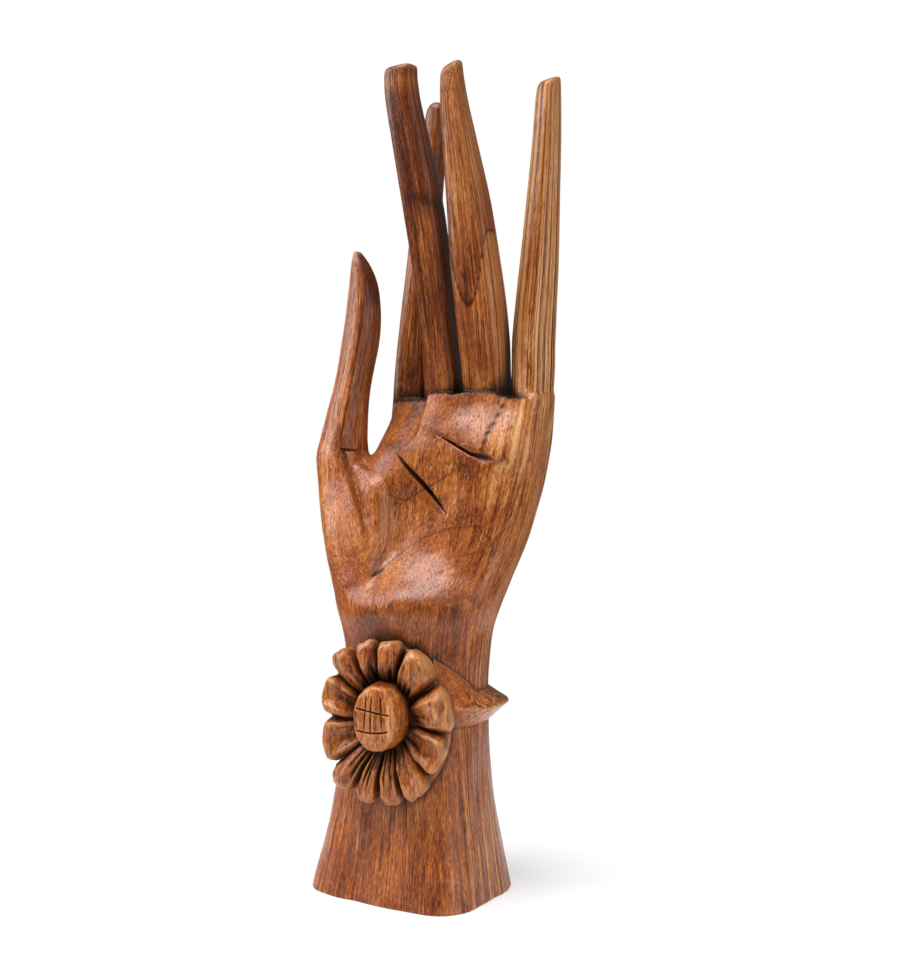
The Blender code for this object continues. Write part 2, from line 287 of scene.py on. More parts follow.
def hand(x, y, z):
    """Signed distance, roughly, to the whole hand without the bracelet and the flower."""
    body = member(T["body"], x, y, z, 0.8, 0.7)
    ball = member(T["thenar"], x, y, z, 4.0, 6.0)
    d = smin(body, ball, 3.6)
    web = np.sqrt(np.clip(np.abs(x + 17) - 6, 0, None) ** 2 + np.clip(np.abs(y - 5) - 3, 0, None) ** 2
                  + np.clip(np.maximum(z - 154.2, 132.0 - z), 0, None) ** 2) - 5
    d = smin(d, web, 3.0)
    mid = along(T["body"], z)[..., 1]
    front = step(3.0, -6.0, y - mid)
    # heel of the hand, hollow of the palm, the web's front
    form = 2.6 * bump(x, z, 3, 106.5, 13, 9) - 1.6 * bump(x, z, 24, 115, 9, 10)
    form = form - 2.0 * bump(x, z, 12, 146, 13, 12, -20)
    form = form + 3.6 * bump(x, z, -7, 149, 9, 8) + 0.5 * bump(x, z, -3, 133, 7, 10)
    form = form + 3.4 * bump(x, z, 9, 179, 9, 10)
    # pad under the fingers, with its lower edge along the upper line; the index side lies further back
    side = x - (z - 175) * 0.1
    form = form + 1.5 * step(-2.2, 2.4, z - 166.6 + (x - 10) * 0.408) * step(2.0, 4.6, side) * step(46, 36, x)
    form = form - 2.4 * step(4.6, 2.0, side) * step(160.0, 171.0, z) * step(-18, -8, x)
    # gouged flute beside the thumb's edge, valley between the ball of the thumb and the heel
    form = form - fold(x, z, [(122, -9.0), (130, -10.6), (136.5, -13.4), (144.5, -17.2), (153, -21.6), (160, -24.6)],
                       [(122, 1.2), (144, 1.8), (160, 2.2)], [(122, 2.0), (130, 4.6), (136.5, 7.0), (144.5, 10.5), (160, 11.0)],
                       [(122, 0.0), (130, 1.2), (136, 2.2), (144.5, 3.4), (153, 3.6), (159, 2.6), (163, 0.0)], 1.4)
    form = form - fold(x, z, [(110, -6.6), (119, -5.6), (133, -2.4), (141, 0.2), (150, 3.0)],
                       [(110, 2.5), (122, 4.0), (133, 6.0), (144, 8.0)], [(110, 6.0), (120, 9.0), (133, 12.0), (150, 13.0)],
                       [(108, 0.0), (117, 1.8), (126, 1.7), (136, 1.2), (143, 0.6), (149, 0.0)], 1.4)
    form = form - 0.5 * groove(x, z, [(-6.2, 113.0), (-3.0, 106.0), (1.0, 99.0)], lambda t: 0.9 + 0 * t, lambda t: arch(t))
    # lines of the palm
    form = form - np.maximum(life_cut(x, z), heart_cut(x, z))
    d = d - form * front
    # the knife's flats
    d = d + 0.13 * np.sin(0.31 * x + 0.11 * z + 1.0) * np.sin(0.27 * y - 0.083 * z) + 0.08 * np.sin(0.43 * x - 0.19 * z) * np.sin(0.52 * y + 0.13 * z + 2.0)
    # the edge of the palm runs on into the little finger
    d = smax(d, 0.891 * x - 0.454 * y - 35.4 - 0.30 * np.clip(178 - z, 0, 80), 1.2)
    # the back of the hand slopes into the backs of the fingers
    d = smax(d, 0.97 * (y - 29.6 + 0.25 * np.clip(z - 158, 0, 40) - 4.5 * step(33.0, 43.0, x)), 3.0)
    # the saw cut under the fingers
    d = smax(d, z - shelf(x), 1.3)
    d = smin(d, member(T["thumb"], x, y, z, 1.0, 3.0), 1.2 + 1.8 * step(168.0, 156.0, z))
    d = d + 1.7 * notch_cut(x, y, z)
    across = 0.9063 * x + 0.4226 * y
    for name, k, top in (("index", 0.9 + 3.0 * step(190.0, 172.0, z), 3.0), ("middle", 0.9, 1.5), ("ring", 0.9, 1.2), ("little", 1.0 + 3.2 * step(40.5, 45.0, x), 1.2)):
        f = member(T[name], x, y, z, top, 1.0)
        if name == "ring":
            f = smax(f, (z - 300.2 - 0.42 * (across - 16.8) + 0.15 * (-5 - y)) * 0.9, 2.4)
        if name == "middle":
            f = smax(f, z - 300.2 - 0.10 * across + 0.12 * (-8 - y), 2.0)
        if name == "little":
            f = smax(f, (z - 299.2 - 0.22 * (across - 53.6) + 0.30 * (24 - y)) * 0.9, 2.2)
        d = smin(d, f, k)
    return np.maximum(d, -z)


def marks(x, y, z):
    """Thin dark seams of the growth rings on the palm, the bottoms of the cuts, a painted shadow under the index
    finger's side and painted shade with stain at the fingers' roots: 0 to 1.
    """
    def seam(points, width):
        return groove(x, z, points, lambda t: width + 0 * t, lambda t: np.clip(5 * arch(t), 0, 1))
    lines = np.maximum(seam([(-7.0, 144.5), (0.5, 142.0), (6.0, 145.0), (26.0, 156.5)], 0.55),
                       seam([(-6.2, 116.0), (2.0, 124.0), (8.5, 128.5), (18.0, 132.0), (28.5, 133.0), (33.0, 128.0), (34.0, 122.0)], 0.55)) * 0.6
    lines = np.maximum(lines, (0.70 + 0.30 * np.sin(z * 1.9)) * seam([(35.5, 180.0), (33.6, 174.0), (32.4, 170.0), (30.6, 165.5), (29.8, 159.0)], 1.5))
    lines = np.maximum(lines, 0.60 * seam([(4.6, 181.0), (3.4, 172.0), (2.4, 166.0), (-1.5, 161.0)], 0.7))
    lines = np.maximum(lines, 0.50 * bump(x, z, -5.0, 161.5, 8.0, 3.0))       # painted shadow under the index finger's side
    lines = np.maximum(lines, groove(x, z, [(-7.0, 115.0), (-4.0, 117.5)], lambda t: 1.6 * arch(0.2 + 0.7 * t), lambda t: 1.0 + 0 * t))
    lines = np.maximum(lines, 0.42 * seam([(-25.0, 160.0), (-22.2, 153.0), (-17.8, 144.5), (-14.0, 136.5), (-11.0, 129.0)], 1.1))      # along the flute's bottom
    cuts = np.maximum(np.clip(life_cut(x, z) / 1.1, 0, 1), 0.85 * np.clip(heart_cut(x, z) / 1.2, 0, 1))
    front = step(3.0, -6.0, y - along(T["body"], z)[..., 1])
    # painted shade, with stain, darkening the fingers' roots above the saw cut and on its lip
    above = shelf(x) - 0.2
    tall = 2.0 + 9.0 * np.exp(-((x - 33) / 3.6) ** 2) + 9.0 * np.exp(-((x - 15) / 2.4) ** 2) + 4.0 * step(2.0, -2.0, x - 3)
    root_shade_and_stain = 0.95 * np.clip(1 - np.where(z > above, (z - above) / tall, (above - z) / 1.1), 0, 1) ** 0.8 * step(-20, -16, x) * step(45, 39, x) * step(26, 18, y)
    return np.maximum(np.maximum(lines, cuts) * front, np.maximum(root_shade_and_stain, np.clip(notch_cut(x, y, z) * 1.1, 0, 1)))


# ------------------------------------------------------------------------------------------
# meshing
# ------------------------------------------------------------------------------------------
CORNERS = np.array([(i, j, k) for i in (0, 1) for j in (0, 1) for k in (0, 1)])
EDGES = [(a, b) for a in range(8) for b in range(a + 1, 8) if np.abs(CORNERS[a] - CORNERS[b]).sum() == 1]


def surface(field, low, high, size):
    """Vertices and quads of the zero level of a field in a box, by surface nets, drawn onto the level."""
    axes = [np.arange(a, b + size, size, dtype=np.float32) for a, b in zip(low, high)]
    blocks = []
    for start in range(0, len(axes[2]), 48):
        zz = axes[2][start:start + 48]
        blocks.append(field(axes[0][:, None, None], axes[1][None, :, None], zz[None, None, :]).astype(np.float32))
    f = np.concatenate(blocks, axis=2)
    s = f < 0
    n = [k - 1 for k in f.shape]
    count = np.zeros(n, np.uint8)
    for i, j, k in CORNERS:
        count += s[i:i + n[0], j:j + n[1], k:k + n[2]]
    active = (count > 0) & (count < 8)
    cells = np.argwhere(active)
    index = np.full(n, -1, np.int32)
    index[active] = np.arange(len(cells))
    values = np.stack([f[cells[:, 0] + i, cells[:, 1] + j, cells[:, 2] + k] for i, j, k in CORNERS], 1)
    total, hits = np.zeros((len(cells), 3)), np.zeros(len(cells))
    for a, b in EDGES:
        fa, fb = values[:, a], values[:, b]
        cross = (fa < 0) != (fb < 0)
        t = np.where(cross, fa / np.where(cross, fa - fb, 1), 0)
        total += cross[:, None] * (CORNERS[a] + (CORNERS[b] - CORNERS[a]) * t[:, None])
        hits += cross
    points = (cells + total / hits[:, None]) * size + np.array([a[0] for a in axes])
    quads = []
    for axis in range(3):
        u, v = [k for k in range(3) if k != axis]
        take = [slice(None)] * 3
        one, two = list(take), list(take)
        one[axis], two[axis] = slice(0, -1), slice(1, None)
        a, b = s[tuple(one)], s[tuple(two)]
        crossing = np.argwhere(a != b)
        crossing = crossing[(crossing[:, u] > 0) & (crossing[:, v] > 0) & (crossing[:, u] < n[u]) & (crossing[:, v] < n[v])]
        inside = a[tuple(crossing.T)]
        around = []
        for du, dv in ((-1, -1), (0, -1), (0, 0), (-1, 0)):
            c = crossing.copy()
            c[:, u] += du
            c[:, v] += dv
            around.append(index[tuple(c.T)])
        q = np.stack(around, 1)
        flip = inside if axis != 1 else ~inside
        q[~flip] = q[~flip][:, ::-1]
        quads.append(q)
    quads = np.concatenate(quads)
    quads = quads[(quads >= 0).all(1)]
    for _ in range(2):
        g, value = gradient(field, points)
        move = value / np.maximum((g * g).sum(1), 0.05)
        points = points - np.clip(move, -0.6 * size, 0.6 * size)[:, None] * g
    return points, quads


def gradient(field, p, e=0.15):
    x, y, z = (p[:, k].astype(np.float32) for k in range(3))
    g = np.stack([field(x + e, y, z) - field(x - e, y, z), field(x, y + e, z) - field(x, y - e, z),
                  field(x, y, z + e) - field(x, y, z - e)], 1) / (2 * e)
    return g, field(x, y, z)


def to_object(name, points, faces):
    mesh = bpy.data.meshes.new(name)
    points = np.asarray(points, float) * MM
    mesh.vertices.add(len(points))
    mesh.vertices.foreach_set("co", points.ravel())
    faces = np.asarray(faces)
    k = faces.shape[1]
    mesh.loops.add(len(faces) * k)
    mesh.loops.foreach_set("vertex_index", faces.ravel())
    mesh.polygons.add(len(faces))
    mesh.polygons.foreach_set("loop_start", np.arange(0, len(faces) * k, k))
    mesh.update(calc_edges=True)
    mesh.validate()
    obj = bpy.data.objects.new(name, mesh)
    bpy.context.scene.collection.objects.link(obj)
    return obj


def tidy(obj):
    """Where two walls of a narrow cut share an edge, the edge is drawn together into one point."""
    bm = bmesh.new()
    bm.from_mesh(obj.data)
    for _ in range(6):
        shared = [e for e in bm.edges if len(e.link_faces) > 2]
        if not shared:
            break
        bmesh.ops.collapse(bm, edges=shared)
    bm.to_mesh(obj.data)
    bm.free()


def cut_apart(obj, height, chosen=None):
    """Split a mesh at a height; returns the mesh data (below, above), each capped. `chosen` keeps the cut to some faces."""
    out = []
    for keep_above in (False, True):
        bm = bmesh.new()
        bm.from_mesh(obj.data)
        faces = [f for f in bm.faces if chosen is None or chosen(f.calc_center_median())]
        geom = faces + list({e for f in faces for e in f.edges}) + list({v for f in faces for v in f.verts})
        bmesh.ops.bisect_plane(bm, geom=geom, plane_co=(0, 0, height * MM), plane_no=(0, 0, 1), dist=1e-7,
                               clear_inner=False, clear_outer=False)
        drop = []
        for f in bm.faces:
            c = f.calc_center_median()
            above = c.z > height * MM and (chosen is None or chosen(c))
            if above != keep_above:
                drop.append(f)
        bmesh.ops.delete(bm, geom=drop, context="FACES")
        edges = [e for e in bm.edges if e.is_boundary]
        bmesh.ops.holes_fill(bm, edges=edges, sides=0)
        mesh = bpy.data.meshes.new(obj.name)
        bm.to_mesh(mesh)
        bm.free()
        out.append(mesh)
    return out


def loose_parts(mesh):
    """The separate islands of a mesh, as new meshes with the middle of each."""
    bm = bmesh.new()
    bm.from_mesh(mesh)
    bm.verts.ensure_lookup_table()
    seen, islands = set(), []
    for v in bm.verts:
        if v.index in seen:
            continue
        stack, island = [v], []
        seen.add(v.index)
        while stack:
            w = stack.pop()
            island.append(w.index)
            for e in w.link_edges:
                o = e.other_vert(w)
                if o.index not in seen:
                    seen.add(o.index)
                    stack.append(o)
        islands.append(island)
    results = []
    for island in islands:
        if len(island) < 50:
            continue
        part = bm.copy()
        part.verts.ensure_lookup_table()
        keep = set(island)
        bmesh.ops.delete(part, geom=[v for v in part.verts if v.index not in keep], context="VERTS")
        new = bpy.data.meshes.new("part")
        part.to_mesh(new)
        part.free()
        results.append((np.mean([bm.verts[i].co[:] for i in island], axis=0) / MM, new))
    bm.free()
    return results


pieces = {}


def keep(name, mesh):
    obj = bpy.data.objects.new(name + "_look", mesh)
    mesh.name = name + "_look"
    bpy.context.scene.collection.objects.link(obj)
    pieces[name] = obj
    return obj


low, high = (-44.0, -32.0, -2.0), (52.0, 36.0, 304.0)
points, quads = surface(hand, low, high, STEP)
whole = to_object("whole", points, quads)
tidy(whole)


def refine(obj, field, wanted):
    """Split the faces where the shape turns sharply or a thin cut runs, and draw the new points onto the field."""
    bm = bmesh.new()
    bm.from_mesh(obj.data)
    bm.normal_update()
    bm.verts.ensure_lookup_table()
    co = np.array([v.co[:] for v in bm.verts]) / MM
    near = wanted(co)
    edges = set()
    for f in bm.faces:
        n = f.normal
        if any(near[v.index] for v in f.verts) or min(v.normal.dot(n) for v in f.verts) < 0.975:
            edges.update(f.edges)
    bmesh.ops.subdivide_edges(bm, edges=list(edges), cuts=1, use_grid_fill=True)
    bmesh.ops.triangulate(bm, faces=[f for f in bm.faces if len(f.verts) > 4])
    co = np.array([v.co[:] for v in bm.verts]) / MM
    for _ in range(2):
        g, value = gradient(field, co, 0.1)
        move = value / np.maximum((g * g).sum(1), 0.05)
        co = co - np.clip(move, -0.25, 0.25)[:, None] * g
    for v, c in zip(bm.verts, co * MM):
        v.co = c
    bm.to_mesh(obj.data)
    bm.free()


refine(whole, hand, lambda c: marks(c[:, 0], c[:, 1], c[:, 2]) > 0.05)


def on_thumb(c):
    return (c.x < -0.0172 and c.y < 0.0125) or (c.z > 0.190 and c.x < -0.012 and c.y < 0.011)


below, above = cut_apart(whole, ROOT_Z, lambda c: not on_thumb(c))
for middle, mesh in loose_parts(above):
    name = min(("index_finger", "middle_finger", "ring_finger", "little_finger"),
               key=lambda n: abs(middle[0] - {"index_finger": -6.5, "middle_finger": 4, "ring_finger": 22, "little_finger": 42}[n]))
    keep(name, mesh)
rest = bpy.data.objects.new("rest", below)
below2, thumb = cut_apart(rest, THUMB_Z, on_thumb)
keep("thumb", thumb)
rest2 = bpy.data.objects.new("rest2", below2)
base, palm = cut_apart(rest2, BAND_Z)
keep("wrist_base", base)
keep("palm", palm)
for o in (whole, rest, rest2):
    bpy.data.objects.remove(o, do_unlink=True)

# ------------------------------------------------------------------------------------------
# bracelet: a three-sided ridge round the wrist that widens into the flower's sides
# ------------------------------------------------------------------------------------------
YAW = math.radians(5.0)
OUT = np.array((math.sin(YAW), -math.cos(YAW), 0.0))
RIGHT = np.array((math.cos(YAW), math.sin(YAW), 0.0))
CENTRE = np.array((1.0, 0.0, 65.0))
FLOWER_W, FLOWER_H = 24.2, 28.7


def from_flower(p, q, w):
    return CENTRE + np.multiply.outer(p, RIGHT) + np.multiply.outer(q, np.array((0, 0, 1.0))) + np.multiply.outer(w, OUT)


def sweep(name, rows):
    """A closed tube through equal rows of points, with closed ends."""
    rows = np.asarray(rows, float)
    count, sides = rows.shape[:2]
    pts = rows.reshape(-1, 3)
    i, j = np.meshgrid(np.arange(count - 1), np.arange(sides), indexing="ij")
    a, b = i * sides + j, i * sides + (j + 1) % sides
    faces = np.stack([a, b, b + sides, a + sides], -1).reshape(-1, 4)
    obj = to_object(name, pts, faces)
    bm = bmesh.new()
    bm.from_mesh(obj.data)
    bmesh.ops.holes_fill(bm, edges=[e for e in bm.edges if e.is_boundary], sides=0)
    bmesh.ops.recalc_face_normals(bm, faces=bm.faces)
    bm.to_mesh(obj.data)
    bm.free()
    return obj


rows = []
wrist = along(T["body"], np.array(BAND_Z))
for a in np.radians(np.linspace(-57, 237, 150)):
    c, s = math.cos(a), math.sin(a)
    # the wrist's own outline and its outward normal
    e = 2 / wrist[5]
    px = wrist[2] * math.copysign(abs(c) ** e, c)
    py = wrist[3] * math.copysign(abs(s) ** e, s)
    normal = np.array((px / wrist[2] ** 2, py / wrist[3] ** 2, 0))
    normal /= np.linalg.norm(normal)
    foot = np.array((wrist[0] + px, wrist[1] + py, BAND_Z))
    degrees = math.degrees(a)
    flare = min(1.0, max(0.0, (max(-degrees, degrees - 180) - 12) / 48))    # 0 at the sides, 1 towards the flower
    wave = 0.20 * math.sin(5 * a + 1) + 0.12 * math.sin(11 * a)
    up, down, outward = 5.6 + 14.4 * flare ** 0.9 + 0.3 * wave, 6.4 + 0.8 * flare, 7.4 + 1.6 * flare + 0.5 * wave
    crest = 0.5 + 2.0 * flare
    section = [(-1.6, -down), (0.15, -down + 0.1), (outward * 0.5, -down * 0.5 + crest * 0.5), (outward - 0.16, crest - 0.30), (outward, crest),
               (outward - 0.16, crest + 0.30), (outward * 0.5, (up + crest) * 0.5), (0.15, up - 0.1), (-1.6, up)]
    fine_section = []
    for (u0, v0), (u1, v1) in zip(section, section[1:] + section[:1]):
        parts = max(1, int(math.hypot(u1 - u0, v1 - v0) / 1.1))
        fine_section.append((parts, (u0, v0), (u1, v1)))
    if not rows:
        counts = [max(parts, 4) if parts > 1 else 1 for parts, _, _ in fine_section]
    rows.append([foot + normal * (u0 + (u1 - u0) * i / n) + np.array((0, 0, v0 + (v1 - v0) * i / n))
                 for n, (_, (u0, v0), (u1, v1)) in zip(counts, fine_section) for i in range(n)])
band = sweep("bracelet", rows)
pieces["bracelet_band"] = band
band.name = "bracelet_band_look"

# ------------------------------------------------------------------------------------------
# flower
# ------------------------------------------------------------------------------------------
# petals clockwise from the top: turn, reach, slant of the end, lift, kind of carving and its values
#   lobe: (crown, fall)   roof: (crown, fall before, fall after)   cup: (middle, half width, depth, outer end)
#   then the gouge strokes: (place across, half width, depth, how far out)
PETALS = [
    (3, 28.6, 0.01, 0.7, "lobe", (-0.20, 2.2), [(-0.45, 0.16, 1.6, 0.45), (0.02, 0.13, 1.3, 0.40), (0.50, 0.20, 2.2, 0.75)]),
    (36, 28.8, -0.03, 1.2, "lobe", (-0.25, 2.4), [(-0.42, 0.17, 2.4, 0.55), (0.06, 0.15, 2.2, 0.62), (0.50, 0.17, 2.4, 0.62)]),
    (76, 29.2, 0.03, 0.3, "roof", (-0.50, 7.0, 2.0), [(0.22, 0.14, 1.0, 0.75), (0.66, 0.14, 1.1, 0.62)]),
    (119, 28.0, 0.00, -0.6, "cup", (-0.05, 0.86, 3.8, 0.94), [(0.35, 0.13, 1.2, 0.75)]),
    (148, 29.4, 0.01, 0.5, "cup", (0.15, 0.74, 2.2, 0.80), [(-0.52, 0.15, 1.4, 0.50)]),
    (174, 28.8, -0.02, 0.0, "roof", (0.15, 0.9, 1.2), [(-0.42, 0.11, 1.0, 0.80), (0.36, 0.11, 1.1, 0.85)]),
    (198, 29.6, 0.01, 0.4, "roof", (-0.20, 3.4, 1.5), [(-0.06, 0.14, 1.5, 0.88), (0.46, 0.15, 1.8, 0.85)]),
    (221, 31.8, 0.02, -0.4, "roof", (0.25, 2.2, 3.0), [(-0.38, 0.16, 2.0, 0.90), (0.18, 0.11, 1.3, 0.72)]),
    (250, 28.9, -0.06, 0.1, "cup", (-0.10, 0.70, 3.3, 0.82), [(0.44, 0.13, 1.3, 0.65)]),
    (295, 28.9, 0.03, 0.7, "cup", (0.12, 0.66, 4.2, 0.98), [(-0.52, 0.13, 1.2, 0.60)]),
    (317, 32.0, -0.03, 0.5, "roof", (0.05, 3.0, 3.2), [(0.44, 0.15, 1.6, 0.60)]),
    (342, 29.2, 0.02, 0.0, "roof", (-0.30, 2.6, 2.8), [(-0.28, 0.13, 1.4, 0.65), (0.36, 0.15, 1.8, 0.70)]),
]
rows = []
angles = np.linspace(0, 2 * np.pi, 96, endpoint=False)
steps = np.arange(27.0, 0.0, -0.2)


def bedded(p, q, w):
    """w, brought out to no more than a millimetre under the wrist's surface."""
    at = from_flower(np.repeat(p[:, None], len(steps), 1), np.repeat(q[:, None], len(steps), 1), np.repeat(steps[None, :], len(p), 0)).astype(np.float32)
    under = hand(at[..., 0], at[..., 1], at[..., 2]) < 0
    return np.maximum(w, steps[np.argmax(under, axis=1)] - 1.0)


for share in (0.12, 0.35, 0.6, 0.85):                               # the back follows the wrist
    p, q = share * (FLOWER_W - 7.4) * np.sin(angles), share * (FLOWER_H - 7.4) * np.cos(angles)
    rows.append(from_flower(p, q, bedded(p, q, np.zeros_like(angles))))
for w, grow in ((6.0, -5.0), (16.0, -1.6), (20.0, -0.4), (23.0, 0.2), (24.6, 0.0), (25.2, -0.8), (25.2, -4.0), (24.6, -9.0), (24.0, -16.0)):
    shape = 1 + 0.012 * np.sin(3 * angles + 1) + 0.01 * np.sin(5 * angles)
    lower = 1.4 * np.exp(-((np.degrees(angles) - 130) / 40) ** 2)   # a strip of the disc shows below the petals on the right
    p, q = (FLOWER_W - 2.4 + grow + lower) * shape * np.sin(angles), (FLOWER_H - 2.4 + grow + lower) * shape * np.cos(angles)
    w = np.full_like(angles, w)
    rows.append(from_flower(p, q, bedded(p, q, w) if w[0] < 20 else w))
backing = sweep("backing", rows)
pieces["flower_backing"] = backing
backing.name = "flower_backing_look"

NR, NQ = ((46, 32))
for k, (middle, reach, slant, lift, kind, form, strokes) in enumerate(PETALS):
    before = (middle - PETALS[k - 1][0]) % 360
    after = (PETALS[(k + 1) % 12][0] - middle) % 360
    lo, hi = math.radians(middle - before / 2 + 0.5), math.radians(middle + after / 2 - 0.5)
    t = np.linspace(0, 1, NR)[:, None]
    t = t + 0.35 * t * (1 - t)                                      # closer rows at the outer end
    q = np.linspace(-1, 1, NQ)[None, :]
    q = q + 0.25 * q * (1 - q * q)
    end = reach * (1 + slant * q - 0.115 * np.abs(q) ** 3.4 + 0.006 * np.sin(7 * q + k))
    r = 8.0 + (end - 8.0) * t
    turn = lo + (hi - lo) * (q + 1) / 2
    height = 0.6 + (6.2 + lift) * step(0.0, 0.62, t) ** 0.8 - 0.9 * np.clip(t - 0.6, 0, 1)
    across = q + 0.10 * np.sin(2.6 * t + k)                         # the strokes wander a little
    if kind == "lobe":
        height = height - form[1] * np.abs(across - form[0]) ** 1.9
    elif kind == "roof":
        height = height - np.where(across < form[0], (form[0] - across) * form[1], (across - form[0]) * form[2])
    else:
        hollow = np.clip(1 - ((across - form[0]) / form[1]) ** 2, 0, 1) * np.clip(1 - ((t - 0.42) / (form[3] - 0.42)) ** 2, 0, 1) * (t > 0) 
        height = height - form[2] * np.where(t < 0.42, np.clip(1 - ((across - form[0]) / form[1]) ** 2, 0, 1) * step(0.0, 0.42, t), hollow)
    for at, half, deep, far in strokes:
        height = height - deep * np.clip(1 - np.abs(across - at * (0.75 + 0.25 * t)) / half, 0, 1) * step(far, far - 0.35, t)
    height = height - 3.6 * np.clip((np.abs(q) - 0.70) / 0.30, 0, 1) ** 1.2 * (0.45 + 0.55 * t)
    height = height - 2.1 * np.clip((t - 0.84) / 0.16, 0, 1) ** 2.2
    height = height + 0.10 * np.sin(9 * t + 5 * q + k) + 0.07 * np.sin(17 * t - 8 * q + 2 * k)
    top = 24.4 + np.maximum(height, 0.25)
    pts = from_flower(r * np.sin(turn) * FLOWER_W / FLOWER_H, r * np.cos(turn), top)
    grid = np.arange(NR * NQ).reshape(NR, NQ)
    upper = np.stack([grid[:-1, :-1], grid[1:, :-1], grid[1:, 1:], grid[:-1, 1:]], -1).reshape(-1, 4)
    rim = np.concatenate([grid[0, :-1], grid[:-1, -1], grid[-1, :0:-1], grid[:0:-1, 0]])
    rr, tt = (r + 0 * q)[np.unravel_index(rim, (NR, NQ))], (turn + 0 * t)[np.unravel_index(rim, (NR, NQ))]
    low_rim = from_flower(rr * 0.985 * np.sin(tt) * FLOWER_W / FLOWER_H, rr * 0.985 * np.cos(tt), np.full(len(rim), 23.2))
    ids = NR * NQ + np.arange(len(rim))
    walls = np.stack([rim, np.roll(rim, -1), np.roll(ids, -1), ids], -1)
    petal = to_object(f"petal_{k + 1:02d}", np.concatenate([pts.reshape(-1, 3), low_rim]), np.concatenate([upper, walls]))
    bm = bmesh.new()
    bm.from_mesh(petal.data)
    bmesh.ops.holes_fill(bm, edges=[e for e in bm.edges if e.is_boundary], sides=0)
    bmesh.ops.recalc_face_normals(bm, faces=bm.faces)
    bm.to_mesh(petal.data)
    bm.free()
    pieces[f"flower_petal_{k + 1:02d}"] = petal
    petal.name = f"flower_petal_{k + 1:02d}_look"


def button(x, y, z):
    """The flower's middle: a tapering oval knob with cuts across its face."""
    px, py = x - CENTRE[0], y - CENTRE[1]
    p, w, q = px * RIGHT[0] + py * RIGHT[1], px * OUT[0] + py * OUT[1], z - CENTRE[2] - 2.6
    t = np.clip((w - 24) / 14.5, 0, 1)
    a, b = 8.8 - 1.2 * t ** 2.2, 12.0 - 1.0 * t ** 2.2
    rho = np.sqrt((p / a) ** 2 + (q / b) ** 2) + 1e-5
    r = np.sqrt(p * p + q * q) + 1e-5
    d = r - r / rho
    d = smax(d, w - 38.4 + 0.016 * p * p + 0.010 * q * q + 0.03 * p, 1.5)
    d = smax(d, 23.0 - w, 0.4)
    d = d + 0.10 * np.sin(0.9 * p + 1.3 * q) * np.sin(0.8 * w + 0.5 * q)
    return d + 0.9 * button_cuts(p, q) * step(34.0, 36.5, w)


def button_cuts(p, q):
    cut = np.clip(1 - np.abs(q - 2.5 + 0.16 * p) / 0.40, 0, 1) * step(6.9, 5.6, np.abs(p + 0.4))
    cut = np.maximum(cut, np.clip(1 - np.abs(q + 4.6 - 0.020 * (p + 0.5) ** 2) / 0.46, 0, 1) * step(6.4, 5.0, np.abs(p + 0.6)))
    for at, lean, low in ((-3.0, 0.05, -3.4), (-0.8, 0.02, -5.2), (3.0, -0.05, -2.6)):
        cut = np.maximum(cut, 0.85 * np.clip(1 - np.abs(p - at - lean * q) / 0.34, 0, 1) * step(low - 0.6, low + 0.8, q) * step(8.6, 7.0, q))
    return cut


pts, quads = surface(button, (-14.0, -44.0, 50.0), (18.0, -20.0, 86.0), 0.34)
centre = to_object("centre", pts, quads)
tidy(centre)
pieces["flower_centre"] = centre
centre.name = "flower_centre_look"

for obj in pieces.values():
    obj.data.shade_smooth()
    obj.data.set_sharp_from_angle(angle=math.radians(48))

# ------------------------------------------------------------------------------------------
# how hollow or how exposed each point is, for the stain and painted shade in the cuts and hollows, and the worn edges
# ------------------------------------------------------------------------------------------
def arrays(mesh):
    n = len(mesh.vertices)
    co, no = np.empty(n * 3), np.empty(n * 3)
    mesh.vertices.foreach_get("co", co)
    mesh.vertices.foreach_get("normal", no)
    ends = np.empty(len(mesh.edges) * 2, np.int32)
    mesh.edges.foreach_get("vertices", ends)
    return co.reshape(-1, 3) / MM, no.reshape(-1, 3), ends.reshape(-1, 2)


def evened(values, ends, times):
    for _ in range(times):
        total, hits = values.copy(), np.ones(len(values))
        for i, j in ((0, 1), (1, 0)):
            np.add.at(total, ends[:, i], values[ends[:, j]])
            np.add.at(hits, ends[:, i], 1)
        values = total / hits
    return values


corners, polygons, first = [], [], 0
for obj in pieces.values():
    co, _, _ = arrays(obj.data)
    corners.extend(map(tuple, co))
    polygons.extend([first + v for v in f.vertices] for f in obj.data.polygons)
    first += len(co)
tree = BVHTree.FromPolygons(corners, polygons)
RAYS, REACH = (15), 9.0
golden = (np.arange(RAYS) + 0.5) / RAYS
spiral = np.stack([np.sqrt(golden) * np.cos(2.39996 * np.arange(RAYS)), np.sqrt(golden) * np.sin(2.39996 * np.arange(RAYS)), np.sqrt(1 - golden * 0.97)], 1)


AXES = {"thumb": ("thumb", THUMB_Z), "index_finger": ("index", ROOT_Z), "middle_finger": ("middle", ROOT_Z), "ring_finger": ("ring", ROOT_Z),
        "little_finger": ("little", ROOT_Z)}


